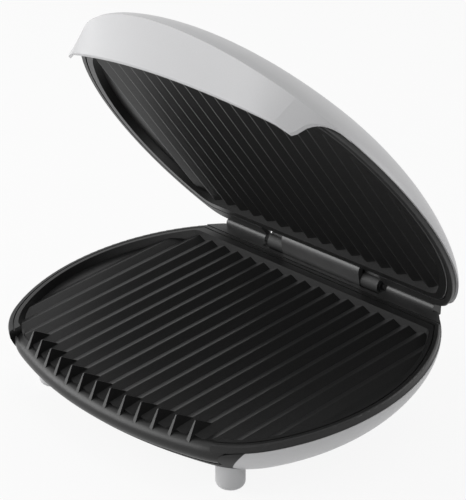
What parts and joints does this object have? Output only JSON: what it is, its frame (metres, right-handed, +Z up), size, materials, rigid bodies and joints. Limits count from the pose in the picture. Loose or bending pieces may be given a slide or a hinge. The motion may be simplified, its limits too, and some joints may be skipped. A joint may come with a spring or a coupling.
{
  "type": "electric indoor grill",
  "caption": "Countertop contact grill, open: sloped ribbed lower plate with food stops and rolled front lip, domed lid with ribbed upper plate and visor handle on a floating rear hinge.",
  "frame": {"origin": "on the table under the middle of the open grill's outline box", "axes": "+Z up; +Y towards the hinge at the rear; +X to the right seen from the front"},
  "size_m": [0.398, 0.2682, 0.3398],
  "materials": {
    "silver_housing": "silver lacquer",
    "dark_moulding": "fine grain",
    "hinge_moulding": "satin",
    "coated_plate": "dark non-stick coating",
    "steel": "zinc plated",
    "heater_tube": "oxidised",
    "reflector_sheet": "bright rolled",
    "ceramic": "unglazed",
    "fuse_sleeve": "woven sleeve",
    "washer": "dense",
    "arm_casting": "black powder coat",
    "pillar": "moulded",
    "pad": "matt",
    "lens": "clear tinted",
    "lamp": "clear"
  },
  "bodies": {
    "base": {"base_shell": "silver_housing", "base_cover": "dark_moulding", "cover_screws": "steel", "lower_plate": "coated_plate", "lower_heater": "heater_tube", "lower_heater_terminals": "ceramic", "lower_heater_clamps": "steel", "lower_reflector": "reflector_sheet", "thermostat": "ceramic", "thermal_fuse": "fuse_sleeve", "lower_clamp_screws": "steel", "plate_bridge": "steel", "plate_screws": "steel", "terminal_block": "ceramic", "cord_gland": "dark_moulding", "rear_deck": "dark_moulding", "hinge_tower": "hinge_moulding", "front_feet": "silver_housing", "rear_feet": "silver_housing", "foot_pads": "pad"},
    "rod": {"hinge_rod": "steel", "rod_clips": "steel", "friction_washers": "washer"},
    "lid": {"hinge_arms": "arm_casting", "arm_screws": "steel", "lid_shell": "silver_housing", "visor_handle": "silver_housing", "lid_liner": "dark_moulding", "upper_plate": "coated_plate", "upper_heater": "heater_tube", "upper_heater_terminals": "ceramic", "upper_heater_clamps": "steel", "upper_clamp_screws": "steel", "upper_reflector": "reflector_sheet", "lid_pillars": "pillar", "lamp_lens": "lens", "pilot_lamp": "lamp"}
  },
  "joints": [
    {"name": "hinge_float", "type": "slide", "parent": "base", "child": "rod", "axis": [0, -0.1702, 0.9854], "range_m": [0, 0.008]},
    {"name": "lid_hinge", "type": "hinge", "parent": "rod", "child": "lid", "pos_m": [0, 0.12325, 0.09618], "axis": [-1, 0, 0], "range_deg": [-62, 35]}
  ]
}
